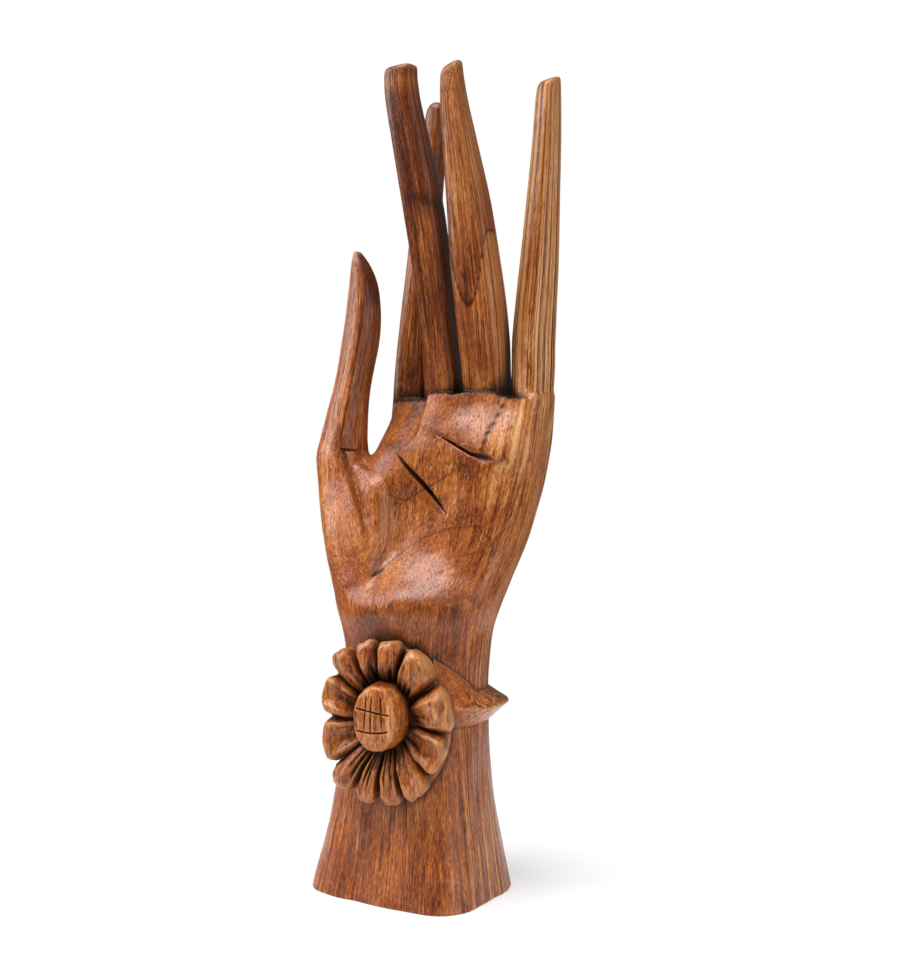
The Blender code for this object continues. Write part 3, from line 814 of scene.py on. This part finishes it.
def grained(name, co):
    """Where each point lies in the straight block of wood whose fibres follow the wrist, the palm and each finger."""
    g = co.copy()
    z = co[:, 2]
    if name in AXES:
        member_name, root = AXES[name]
        here, base = along(T[member_name], z), along(T[member_name], np.array([root]))
        g[:, :2] = base[:, :2] + (g[:, :2] - here[:, :2]) * np.clip(base[:, 2:4] / here[:, 2:4], 0.7, 1.9)
        z = np.full(len(z), root)
    if name.startswith("flower") or name == "bracelet_band":
        return g
    body, ball, flat = along(T["body"], z), along(T["thenar"], np.clip(z, 96.0, 160.0)), along(T["body"], np.array([86.0]))
    left = -smax(body[:, 2] - body[:, 0], np.where(z > 96.0, ball[:, 2] - ball[:, 0], 0.0), 2.0)
    right = body[:, 0] + body[:, 2]
    g[:, 0] = -24.3 + 53.8 * (g[:, 0] - left) / (right - left)
    follow = np.where(z < 86.0, 1.0, 0.8)
    g[:, 1] += follow * ((g[:, 1] - body[:, 1]) * flat[:, 3] / body[:, 3] - g[:, 1])
    return g


def shade(name, obj):
    mesh = obj.data
    co, no, ends = arrays(mesh)
    n = len(co)
    carved = name.startswith("flower") or name == "bracelet_band"
    look = np.ones(n, bool)
    if not carved:
        slope, _ = gradient(hand, co)
        no = (slope / (np.linalg.norm(slope, axis=1)[:, None] + 1e-9)).astype(float)
        p = (co + no * 6.0).astype(np.float32)
        near_flower = (np.abs(co[:, 2] - 66) < 42) & (co[:, 1] < 0) | (np.abs(co[:, 2] - BAND_Z) < 16)
        look = (hand(p[:, 0], p[:, 1], p[:, 2]) < 5.2) | near_flower
    side = np.where(np.abs(no[:, 2:3]) < 0.9, np.array([[0, 0, 1.0]]), np.array([[1.0, 0, 0]]))
    u = np.cross(no, side)
    u /= np.linalg.norm(u, axis=1)[:, None] + 1e-9
    v = np.cross(no, u)
    hollow = np.zeros(n)
    start = co + no * 0.05
    for i in np.nonzero(look)[0]:
        o, a, b, c = Vector(start[i]), u[i], v[i], no[i]
        total = 0.0
        for r in spiral @ np.array((a, b, c)):
            distance = tree.ray_cast(o, Vector(r), REACH)[3]
            if distance is not None:
                total += 1 - distance / REACH
        hollow[i] = total / RAYS
    hollow = evened(hollow, ends, 2)
    if name in ("palm", "wrist_base"):
        hollow *= 1 + 0.6 * step(108.0, 100.0, co[:, 2]) * step(0.0, -8.0, co[:, 1])      # more painted shade and stain round the flower
    if name == "palm":
        hollow *= 1 - 0.75 * step(100.0, 112.0, co[:, 2]) * step(181.0, 177.0, co[:, 2])     # less painted shade and stain in the palm's wide folds
    # edges: how far a point stands out from its neighbours
    away = co[ends[:, 0]] - co[ends[:, 1]]
    away /= np.linalg.norm(away, axis=1)[:, None] + 1e-9
    out, hits = np.zeros(n), np.ones(n) * 1e-6
    np.add.at(out, ends[:, 0], (away * no[ends[:, 0]]).sum(1))
    np.add.at(out, ends[:, 1], -(away * no[ends[:, 1]]).sum(1))
    np.add.at(hits, ends.ravel(), 1)
    proud = evened(np.clip(out / hits * 7.0, -1, 1), ends, 3)
    if not carved:
        reach = 2.0
        p = (co - no * reach).astype(np.float32)
        proud = 0.4 * np.clip(proud, 0, 1) + 1.2 * np.clip(1 + hand(p[:, 0], p[:, 1], p[:, 2]) / reach, 0, 1)
    if name == "flower_backing":
        proud[:] = 0.0
    if name == "wrist_base":
        proud *= step(1.0, 5.0, co[:, 2])
    mark = np.zeros(n)
    if name in ("palm", "thumb") or name.endswith("_finger"):
        mark = marks(co[:, 0], co[:, 1], co[:, 2])
    if name == "flower_centre":
        px, py = co[:, 0] - CENTRE[0], co[:, 1] - CENTRE[1]
        w = px * OUT[0] + py * OUT[1]
        mark = np.clip(button_cuts(px * RIGHT[0] + py * RIGHT[1], co[:, 2] - CENTRE[2] - 2.6) * 0.8, 0, 0.7) * step(34.0, 36.5, w)
    proud = np.clip(proud, 0, 1) * (1 - np.clip(1.6 * mark, 0, 1))
    figure_and_painted_light = np.zeros(n)
    if name == "ring_finger":                                       # the arch of a growth ring on its front
        inside = co[:, 2] - 213.0 - 0.42 * (co[:, 0] - 22.4) ** 2
        figure_and_painted_light = (0.95 * step(-1.0, 1.0, inside) * step(46.0, 8.0, inside) + 2.0 * np.exp(-(inside / 0.8) ** 2)) * step(9.0, 5.0, co[:, 1]) - 0.75 + 0.55 * step(232.0, 206.0, co[:, 2])
    if name == "middle_finger":                                     # a dark patch across it
        figure_and_painted_light = 0.9 * np.exp(-((co[:, 2] - 252 + 0.25 * (co[:, 0] - 4)) / 2.6) ** 2) * step(-2.0, 1.0, co[:, 0]) + 0.1 * step(252.0, 258.0, co[:, 2]) * step(290.0, 270.0, co[:, 2])
        figure_and_painted_light -= 0.9 * np.exp(-((co[:, 2] - 293) / 3.5) ** 2)
    if name == "palm":                                              # painted light: paler on the slope beside the ball of the thumb, which faces away from the lamps
        figure_and_painted_light = -1.0 * bump(co[:, 0], co[:, 2], -4.4, 132.0, 5.5, 12.0) * (no[:, 1] < 0.2)
    if name == "little_finger":                                     # paler wood with ribs of dark and light, lifted further by a painted sheen
        figure_and_painted_light = -0.65 * step(181.0, 212.0, co[:, 2])
    if name == "thumb":                                             # a dark bevel inside its tip
        figure_and_painted_light = 1.3 * step(0.25, 0.75, no[:, 0] * 0.85 + no[:, 1] * 0.2 + no[:, 2] * 0.48) * step(212.0, 219.0, co[:, 2])
    if name.startswith("flower_petal") or name == "flower_backing":   # painted shade round the button
        px, pz = (co[:, 0] - CENTRE[0]) * RIGHT[0] + (co[:, 1] - CENTRE[1]) * RIGHT[1], co[:, 2] - CENTRE[2] - 2.6
        mark = 0.75 * step(2.0, 1.15, np.hypot(px / 7.3, pz / 11.0))
    if name == "wrist_base":                                        # a seam down the foot's front
        mark = 0.30 * groove(co[:, 0], co[:, 2], [(1.0, 38.0), (-3.0, 26.0), (-7.6, 12.0)], lambda t: 0.9 + 0 * t, lambda t: arch(t)) * (no[:, 1] < -0.5)
    layer = mesh.attributes.new("grain", "FLOAT_VECTOR", "POINT")
    layer.data.foreach_set("vector", np.asarray(grained(name, co), np.float32).ravel())
    for key, value in (("hollow", hollow), ("proud", np.clip(proud, 0, 1)), ("mark", mark), ("figure_and_painted_light", figure_and_painted_light), ("carved", np.full(n, {"bracelet_band": 0.25, "flower_backing": 0.25}.get(name, 1.0) if carved else 0.0))):
        layer = mesh.attributes.new(key, "FLOAT", "POINT")
        layer.data.foreach_set("value", np.asarray(value, np.float32))


for name, obj in pieces.items():
    shade(name, obj)

# ------------------------------------------------------------------------------------------
# wood
# ------------------------------------------------------------------------------------------
wood = bpy.data.materials.new("stained_wood_look")
wood.use_nodes = True
nt = wood.node_tree
nodes, links = nt.nodes, nt.links
shader = nodes["Principled BSDF"]


def node(kind, **settings):
    n = nodes.new(kind)
    for key, value in settings.items():
        if key == "ins":
            for k, v in value.items():
                if hasattr(v, "is_output"):
                    links.new(v, n.inputs[k])
                else:
                    n.inputs[k].default_value = v
        else:
            setattr(n, key, value)
    return n


def math_(op, a, b=0.0, c=0.0, clamp=False):
    n = node("ShaderNodeMath", operation=op, use_clamp=clamp)
    for k, v in enumerate((a, b, c)):
        if hasattr(v, "is_output"):
            links.new(v, n.inputs[k])
        else:
            n.inputs[k].default_value = v
    return n.outputs[0]


def ramp(value, *stops):
    n = node("ShaderNodeValToRGB")
    while len(n.color_ramp.elements) < len(stops):
        n.color_ramp.elements.new(0.5)
    for e, (at, colour) in zip(n.color_ramp.elements, stops):
        e.position = at
        e.color = (*colour, 1) if isinstance(colour, tuple) else (colour, colour, colour, 1)
    links.new(value, n.inputs[0])
    return n.outputs[0]


def mix(kind, amount, a, b):
    n = node("ShaderNodeMix", data_type="RGBA", blend_type=kind)
    for socket, v in ((n.inputs["Factor"], amount), (n.inputs["A"], a), (n.inputs["B"], b)):
        if hasattr(v, "is_output"):
            links.new(v, socket)
        else:
            socket.default_value = v
    return n.outputs["Result"]


place = node("ShaderNodeAttribute", attribute_type="GEOMETRY", attribute_name="grain").outputs["Vector"]     # millimetres
spot = node("ShaderNodeSeparateXYZ", ins={"Vector": node("ShaderNodeMapping", vector_type="POINT", ins={"Vector": node("ShaderNodeTexCoord").outputs["Object"], "Scale": (1000, 1000, 1000)}).outputs[0]})


def scaled(x, y, z):
    return node("ShaderNodeMapping", vector_type="POINT", ins={"Vector": place, "Scale": (x, y, z)}).outputs[0]


def noise(vector, detail=2.0, rough=0.5, **extra):
    return node("ShaderNodeTexNoise", ins={"Vector": vector, "Scale": 1.0, "Detail": detail, "Roughness": rough, **extra}).outputs[0]


# growth rings: nearly flat sheets that face the palm, waved a little along the trunk
RING_X, RING_Y = 0.20, -0.98
wave = noise(scaled(0.02, 0.02, 0.009), 2.0)
wave2 = noise(scaled(0.09, 0.09, 0.018), 2.0)
xyz = node("ShaderNodeSeparateXYZ", ins={"Vector": place})
depth = math_("ADD", math_("MULTIPLY", xyz.outputs["X"], RING_X), math_("MULTIPLY", xyz.outputs["Y"], RING_Y))
bend = math_("MULTIPLY", math_("MULTIPLY", xyz.outputs["X"], xyz.outputs["X"]), 0.0035)
depth = math_("ADD", math_("SUBTRACT", depth, bend), math_("ADD", math_("MULTIPLY", wave, 11.0), math_("MULTIPLY", wave2, 3.0)))

# faces that lie across the rings show them as close stripes, faces that lie along them hardly at all
facing = node("ShaderNodeVectorMath", operation="DOT_PRODUCT", ins={0: node("ShaderNodeNewGeometry").outputs["Normal"], 1: (RING_X, RING_Y, 0)}).outputs["Value"]
edge_on = ramp(math_("ABSOLUTE", facing), (0.35, 1.0), (0.70, 0.45), (0.92, 0.06))

stripes = node("ShaderNodeTexNoise", noise_dimensions="1D", ins={"W": depth, "Scale": 0.60, "Detail": 2.0, "Roughness": 0.55}).outputs[0]
fine = node("ShaderNodeTexNoise", noise_dimensions="1D", ins={"W": depth, "Scale": 1.6, "Detail": 2.0, "Roughness": 0.55}).outputs[0]
sheet = noise(scaled(0.30, 1.0, 0.012), 4.0, 0.6)
streak = noise(scaled(0.8, 0.8, 0.018), 3.0, 0.6)
fibre = noise(scaled(2.7, 2.7, 0.075), 3.0, 0.65)
hair = noise(scaled(6.5, 6.5, 0.40), 2.0, 0.6)
cloud = noise(scaled(0.035, 0.035, 0.014), 3.0, 0.55)
mottle = noise(scaled(0.17, 0.17, 0.075), 4.0, 0.62)
patch = noise(scaled(0.06, 0.06, 0.03), 3.0, 0.6)
normal = node("ShaderNodeSeparateXYZ", ins={"Vector": node("ShaderNodeNewGeometry").outputs["Normal"]})
at_tip = ramp(math_("MULTIPLY", xyz.outputs["Z"], 0.003), (0.56, 0.0), (0.62, 1.0))
end_grain = ramp(math_("ADD", math_("ABSOLUTE", normal.outputs["Z"]), math_("MULTIPLY", at_tip, 0.30)), (0.78, 0.0), (1.0, 1.0))


def swing(value, amount):
    return math_("MULTIPLY", math_("SUBTRACT", value, 0.5), amount)


upright = ramp(math_("SUBTRACT", math_("ABSOLUTE", normal.outputs["Z"]), math_("MULTIPLY", at_tip, 0.25)), (0.12, 1.0), (0.42, 0.22))
carved = node("ShaderNodeAttribute", attribute_type="GEOMETRY", attribute_name="carved").outputs["Fac"]
figure_and_painted_light = node("ShaderNodeAttribute", attribute_type="GEOMETRY", attribute_name="figure_and_painted_light").outputs["Fac"]
banded = math_("MULTIPLY", math_("ADD", swing(stripes, 1.5), swing(fine, 1.1)), math_("SUBTRACT", 1.0, math_("MULTIPLY", carved, 0.65)))
height = math_("MULTIPLY", xyz.outputs["Z"], 0.003)
in_palm = ramp(height, (0.25, 0.0), (0.30, 1.0), (0.53, 1.0), (0.57, 0.0))
tone = math_("ADD", 0.56, math_("MULTIPLY", math_("MULTIPLY", banded, upright), math_("MULTIPLY", edge_on, math_("SUBTRACT", 0.62, math_("MULTIPLY", in_palm, 0.50)))))
tone = math_("ADD", tone, math_("MULTIPLY", in_palm, 0.03))
long_grain = math_("ADD", math_("ADD", swing(sheet, 0.55), swing(streak, 0.75)), swing(fibre, 0.90))
long_grain = math_("MULTIPLY", long_grain, ramp(math_("MULTIPLY", xyz.outputs["Z"], 0.003), (0.52, 0.85), (0.59, 1.0)))     # quieter on the palm than on the fingers
tone = math_("ADD", tone, math_("MULTIPLY", long_grain, upright))
grit = noise(scaled(1.9, 1.9, 0.55), 4.0, 0.7)
on_hand = ramp(math_("MULTIPLY", xyz.outputs["Z"], 0.003), (0.18, 0.72), (0.30, 1.0), (0.54, 1.0), (0.60, 0.35))
tone = math_("ADD", tone, math_("MULTIPLY", math_("ADD", swing(grit, 1.15), swing(mottle, 0.75)), on_hand))
silk = noise(scaled(3.4, 3.4, 0.035), 3.0, 0.7)
tone = math_("ADD", tone, math_("MULTIPLY", swing(silk, 1.7), math_("SUBTRACT", 1.25, on_hand)))
for value, amount in ((hair, 0.95), (cloud, 0.60)):
    tone = math_("ADD", tone, swing(value, amount))
tone = math_("SUBTRACT", tone, math_("MULTIPLY", end_grain, 0.30))
# lighter or darker with the grain figure, and lighter where painted light lifts the palm's slope and the little finger
tone = math_("SUBTRACT", tone, math_("MULTIPLY", figure_and_painted_light, 0.26))
tone = math_("ADD", tone, math_("MULTIPLY", carved, math_("ADD", 0.09, swing(streak, 0.9))))
# paler wood towards both flanks of the block, the darkest where the middle finger and the foot are
flank = ramp(math_("MULTIPLY", math_("ADD", spot.outputs["X"], 50.0), 0.01), (0.18, 0.55), (0.32, 0.0), (0.76, 0.0), (0.88, 1.0))
heart = math_("MULTIPLY", ramp(math_("MULTIPLY", math_("ABSOLUTE", math_("SUBTRACT", spot.outputs["X"], 3.0)), 0.04), (0.16, 1.0), (0.60, 0.0)),
              ramp(math_("MULTIPLY", xyz.outputs["Z"], 0.003), (0.54, 0.0), (0.66, 1.0)))
foot_dark = ramp(math_("MULTIPLY", xyz.outputs["Z"], 0.01), (0.10, 1.0), (0.75, 0.0))
tone = math_("ADD", tone, math_("SUBTRACT", math_("MULTIPLY", flank, math_("SUBTRACT", 0.22, math_("MULTIPLY", in_palm, 0.08))), math_("ADD", math_("MULTIPLY", heart, 0.16), math_("MULTIPLY", foot_dark, 0.11))))
bold = noise(scaled(0.8, 0.8, 0.0035), 2.0, 0.5)                   # bold stripes of the pale outer wood
tone = math_("ADD", tone, math_("MULTIPLY", flank, math_("MULTIPLY", swing(bold, 3.8), math_("SUBTRACT", math_("SUBTRACT", 1.0, math_("MULTIPLY", in_palm, 0.55)), math_("MULTIPLY", foot_dark, 0.5)))))
colour = ramp(math_("MULTIPLY", tone, 0.8), (0.08, (0.046, 0.0090, 0.0026)), (0.272, (0.142, 0.0305, 0.0060)), (0.416, (0.285, 0.067, 0.0112)), (0.56, (0.445, 0.127, 0.0235)), (0.72, (0.60, 0.226, 0.060)), (0.92, (0.77, 0.42, 0.165)))
colour = mix("MULTIPLY", 1.0, colour, ramp(patch, (0.30, (0.95, 0.80, 0.70)), (0.50, (1.0, 0.98, 0.95)), (0.70, (1.05, 1.08, 1.06))))

# thin dark lines where one season ends
saw = math_("FRACT", math_("MULTIPLY", depth, 0.115))
line = ramp(saw, (0.0, 0.0), (0.45, 0.0), (0.945, 0.42), (0.972, 1.0), (0.986, 1.0), (1.0, 0.0))
line = math_("MULTIPLY", math_("MULTIPLY", line, upright), ramp(noise(scaled(0.05, 0.05, 0.03), 2.0), (0.40, 0.08), (0.60, 0.75)))
colour = mix("MULTIPLY", line, colour, (0.45, 0.32, 0.28, 1))

# pores: short dark vessels along the grain
vessel = node("ShaderNodeTexVoronoi", feature="F1", ins={"Vector": scaled(1.3, 1.3, 0.50), "Scale": 1.0, "Randomness": 1.0})
some = node("ShaderNodeSeparateColor", ins={"Color": vessel.outputs["Color"]}).outputs[0]
dots = math_("MULTIPLY", ramp(vessel.outputs["Distance"], (0.0, 1.0), (0.14, 1.0), (0.27, 0.0)), ramp(some, (0.10, 0.0), (0.50, 1.0)))
slit = node("ShaderNodeTexVoronoi", feature="F1", ins={"Vector": scaled(1.7, 1.7, 0.11), "Scale": 1.0, "Randomness": 1.0})
some2 = node("ShaderNodeSeparateColor", ins={"Color": slit.outputs["Color"]}).outputs[0]
slits = math_("MULTIPLY", ramp(slit.outputs["Distance"], (0.0, 1.0), (0.15, 1.0), (0.32, 0.0)), ramp(some2, (0.25, 0.0), (0.60, 1.0)))
sloped = math_("SUBTRACT", 1.0, upright)
pore = math_("ADD", math_("MULTIPLY", dots, math_("ADD", 0.25, math_("MULTIPLY", sloped, 0.75))), math_("MULTIPLY", slits, upright), clamp=True)
colour = mix("MULTIPLY", math_("MULTIPLY", pore, 0.85), colour, (0.20, 0.13, 0.11, 1))

# stain and painted shade in the cuts and hollows, wear on the edges
hollow = node("ShaderNodeAttribute", attribute_type="GEOMETRY", attribute_name="hollow").outputs["Fac"]
proud = node("ShaderNodeAttribute", attribute_type="GEOMETRY", attribute_name="proud").outputs["Fac"]
mark = node("ShaderNodeAttribute", attribute_type="GEOMETRY", attribute_name="mark").outputs["Fac"]
wear = math_("ADD", proud, swing(noise(scaled(0.35, 0.35, 0.12), 3.0), 0.35))
colour = mix("MIX", math_("MULTIPLY", ramp(wear, (0.22, 0.0), (0.62, 1.0)), math_("ADD", 0.60, math_("MULTIPLY", carved, 0.05))), colour, (0.52, 0.245, 0.080, 1))
stain_and_shade = math_("ADD", hollow, swing(noise(scaled(0.5, 0.5, 0.25), 3.0), 0.20))
# painted shade with stain: the more hollow a point, the darker its colour
colour = mix("MULTIPLY", ramp(stain_and_shade, (0.12, 0.0), (0.36, 0.55), (0.66, 0.95)), colour, (0.15, 0.095, 0.075, 1))
# near-black where the marks are: seams and cut bottoms, a painted shadow under the index finger's side, painted shade
# at the fingers' roots and round the button
colour = mix("MIX", ramp(math_("ADD", mark, swing(noise(scaled(0.9, 0.9, 0.5), 2.0), 0.35)), (0.10, 0.0), (0.80, 0.90)), colour, (0.020, 0.0085, 0.0045, 1))
links.new(colour, shader.inputs["Base Color"])

rough = math_("ADD", 0.19, math_("MULTIPLY", noise(scaled(0.12, 0.12, 0.05), 3.0), 0.20))
rough = math_("ADD", rough, math_("ADD", math_("MULTIPLY", pore, 0.25), math_("MULTIPLY", mark, 0.10)))
rough = math_("ADD", rough, math_("MULTIPLY", ramp(stain_and_shade, (0.2, 0.0), (0.7, 1.0)), 0.25))
links.new(rough, shader.inputs["Roughness"])
links.new(math_("SUBTRACT", 0.43, math_("MULTIPLY", math_("ADD", mark, math_("MULTIPLY", pore, 0.5), clamp=True), 0.38)), shader.inputs["Specular IOR Level"])
shader.inputs["Coat Weight"].default_value = 0.06
shader.inputs["Coat Roughness"].default_value = 0.25

relief = math_("SUBTRACT", math_("ADD", math_("MULTIPLY", fibre, 0.45), math_("MULTIPLY", hair, 0.35)), math_("MULTIPLY", pore, 0.8))
tool = noise(scaled(0.16, 0.16, 0.07), 3.0, 0.55)
bumps = node("ShaderNodeBump", ins={"Strength": 0.55, "Distance": 0.00025, "Height": relief})
bumps2 = node("ShaderNodeBump", ins={"Strength": math_("ADD", 0.5, math_("MULTIPLY", carved, 0.45)), "Distance": 0.0014, "Height": tool, "Normal": bumps.outputs[0]})
links.new(bumps2.outputs[0], shader.inputs["Normal"])

for name, obj in pieces.items():
    obj.data.materials.clear()
    obj.data.materials.append(wood)
    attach(obj, "root")
    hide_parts(name)

# ------------------------------------------------------------------------------------------
# studio
# ------------------------------------------------------------------------------------------
scene = bpy.context.scene
AZ = math.radians(25.0)
view_right, view_back = Vector((math.cos(AZ), math.sin(AZ), 0)), Vector((math.sin(AZ), -math.cos(AZ), 0))
camera = bpy.data.cameras.new("camera")
camera.sensor_width = 36.0
camera.lens = 36.0 * 1244.8 / 962
camera.clip_start = 0.01
eye = bpy.data.objects.new("camera", camera)
eye.location = view_back * 0.460 + view_right * 0.0142 + Vector((0, 0, 0.149))
eye.rotation_euler = (math.pi / 2, 0, AZ)
scene.collection.objects.link(eye)
scene.camera = eye

bm = bmesh.new()
bmesh.ops.create_circle(bm, cap_ends=True, segments=96, radius=0.32)
mesh = bpy.data.meshes.new("floor")
bm.to_mesh(mesh)
bm.free()
floor = bpy.data.objects.new("floor", mesh)
scene.collection.objects.link(floor)
white = bpy.data.materials.new("floor_white")
white.use_nodes = True
white.node_tree.nodes["Principled BSDF"].inputs["Base Color"].default_value = (0.50, 0.50, 0.50, 1)
white.node_tree.nodes["Principled BSDF"].inputs["Roughness"].default_value = 0.9
white.node_tree.nodes["Principled BSDF"].inputs["Specular IOR Level"].default_value = 0.2
white.node_tree.nodes["Principled BSDF"].inputs["Emission Color"].default_value = (1, 1, 1, 1)
white.node_tree.nodes["Principled BSDF"].inputs["Emission Strength"].default_value = 0.52
mesh.materials.append(white)

world = bpy.data.worlds.new("studio")
scene.world = world
world.use_nodes = True
sky = world.node_tree.nodes["Background"]
sky.inputs["Color"].default_value = (1, 1, 1, 1)
rays = world.node_tree.nodes.new("ShaderNodeLightPath")
level = world.node_tree.nodes.new("ShaderNodeMapRange")      # a white backdrop that lights the hand only softly
level.inputs["To Min"].default_value = 0.17
level.inputs["To Max"].default_value = 1.0
world.node_tree.links.new(rays.outputs["Is Camera Ray"], level.inputs["Value"])
world.node_tree.links.new(level.outputs["Result"], sky.inputs["Strength"])


def softbox(name, right, back, up, width, height, power):
    light = bpy.data.lights.new(name, "AREA")
    light.shape = "RECTANGLE"
    light.size, light.size_y, light.energy = width, height, power
    obj = bpy.data.objects.new(name, light)
    obj.location = view_right * right + view_back * back + Vector((0, 0, up))
    obj.rotation_euler = (Vector((0, 0, 0.15)) - obj.location).to_track_quat("-Z", "Y").to_euler()
    scene.collection.objects.link(obj)


softbox("left", -0.66, 0.02, 0.50, 0.50, 0.60, 4.4)
softbox("right", 0.66, 0.50, 0.30, 0.60, 0.60, 2.2)
overhead = bpy.data.lights.new("overhead", "SUN")
overhead.energy, overhead.angle = 3.0, math.radians(36)
lamp = bpy.data.objects.new("overhead", overhead)
lamp.rotation_euler = (view_back * -0.22 + view_right * 0.20 + Vector((0, 0, -0.955))).to_track_quat("-Z", "Y").to_euler()
scene.collection.objects.link(lamp)
scene.view_settings.view_transform = "Standard"
scene.view_settings.look = "None"

bpy.context.view_layer.update()
